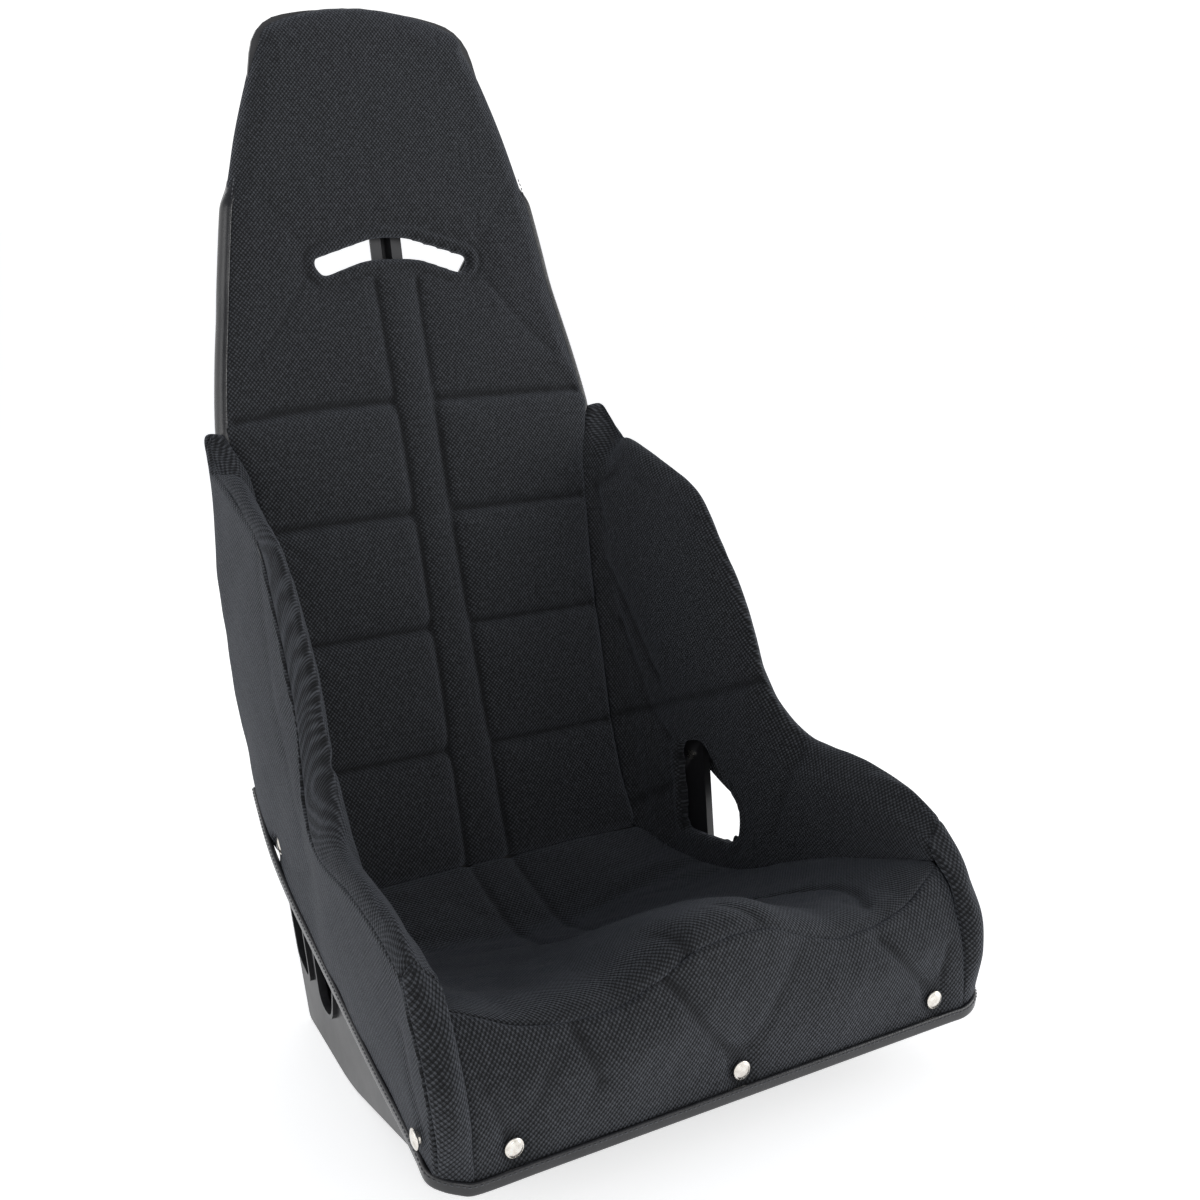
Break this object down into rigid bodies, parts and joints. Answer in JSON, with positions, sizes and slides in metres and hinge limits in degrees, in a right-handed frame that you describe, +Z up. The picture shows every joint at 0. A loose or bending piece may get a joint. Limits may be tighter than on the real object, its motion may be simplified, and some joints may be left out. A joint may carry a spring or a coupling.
{
  "type": "racing seat",
  "caption": "High-back aluminium racing bucket seat with a padded tweed cover held by snaps, shoulder belt slot, belt openings in both sides and a riveted spine brace.",
  "frame": {"origin": "middle of the footprint on the floor, under the bottom flanges", "axes": "+X to the driver's left, +Y rearward, +Z up; the driver faces -Y"},
  "size_m": [0.5082, 0.6074, 0.8534],
  "materials": {
    "shell_black": "semi-gloss black powder coat",
    "cover_cloth": "coarse basket-weave tweed",
    "binding_vinyl": "glossy black vinyl",
    "snap_nickel": "polished nickel"
  },
  "bodies": {
    "root": {"back_panel": "shell_black", "seat_pan": "shell_black", "spine_brace": "shell_black", "brace_rivet_1_right": "shell_black", "brace_rivet_1_left": "shell_black", "brace_rivet_2_right": "shell_black", "brace_rivet_2_left": "shell_black", "brace_rivet_3_right": "shell_black", "brace_rivet_3_left": "shell_black", "brace_rivet_4_right": "shell_black", "brace_rivet_4_left": "shell_black", "brace_rivet_5_right": "shell_black", "brace_rivet_5_left": "shell_black", "brace_rivet_6_right": "shell_black", "brace_rivet_6_left": "shell_black", "back_cushion": "cover_cloth", "head_pocket": "cover_cloth", "seat_cushion": "cover_cloth", "front_apron": "cover_cloth", "hem_binding": "binding_vinyl", "side_panel_left": "shell_black", "side_cushion_left": "cover_cloth", "outer_flap_left": "cover_cloth", "front_corner_left": "cover_cloth", "shoulder_binding_left": "binding_vinyl", "side_panel_right": "shell_black", "side_cushion_right": "cover_cloth", "outer_flap_right": "cover_cloth", "front_corner_right": "cover_cloth", "shoulder_binding_right": "binding_vinyl", "snap_stud_front_left": "snap_nickel", "snap_cap_front_left": "snap_nickel", "snap_stud_front_center": "snap_nickel", "snap_cap_front_center": "snap_nickel", "snap_stud_front_right": "snap_nickel", "snap_cap_front_right": "snap_nickel", "snap_stud_side_front_left": "snap_nickel", "snap_cap_side_front_left": "snap_nickel", "snap_stud_side_front_right": "snap_nickel", "snap_cap_side_front_right": "snap_nickel", "snap_stud_side_rear_left": "snap_nickel", "snap_cap_side_rear_left": "snap_nickel", "snap_stud_side_rear_right": "snap_nickel", "snap_cap_side_rear_right": "snap_nickel"}
  },
  "joints": []
}
